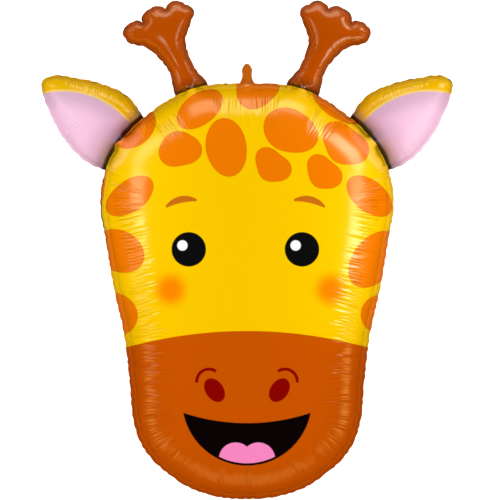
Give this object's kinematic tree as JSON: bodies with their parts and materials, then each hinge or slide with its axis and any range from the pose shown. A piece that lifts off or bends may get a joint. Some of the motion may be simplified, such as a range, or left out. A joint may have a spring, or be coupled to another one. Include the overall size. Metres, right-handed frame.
{
  "type": "giraffe head foil balloon",
  "caption": "Inflated foil party balloon shaped as a giraffe's head, with ears, knobbed horns and a hanging tab, sealed round a flat hem.",
  "frame": {"origin": "centre of the bounding box's underside, on the flat spot that the back rests on", "axes": "+X to the viewer's right, +Y up the face towards the horns, +Z out of the face"},
  "size_m": [0.6184, 0.7482, 0.2766],
  "materials": {
    "printed_foil": "glossy printed metallised film"
  },
  "bodies": {
    "root": {"foil_balloon": "printed_foil"}
  },
  "joints": []
}
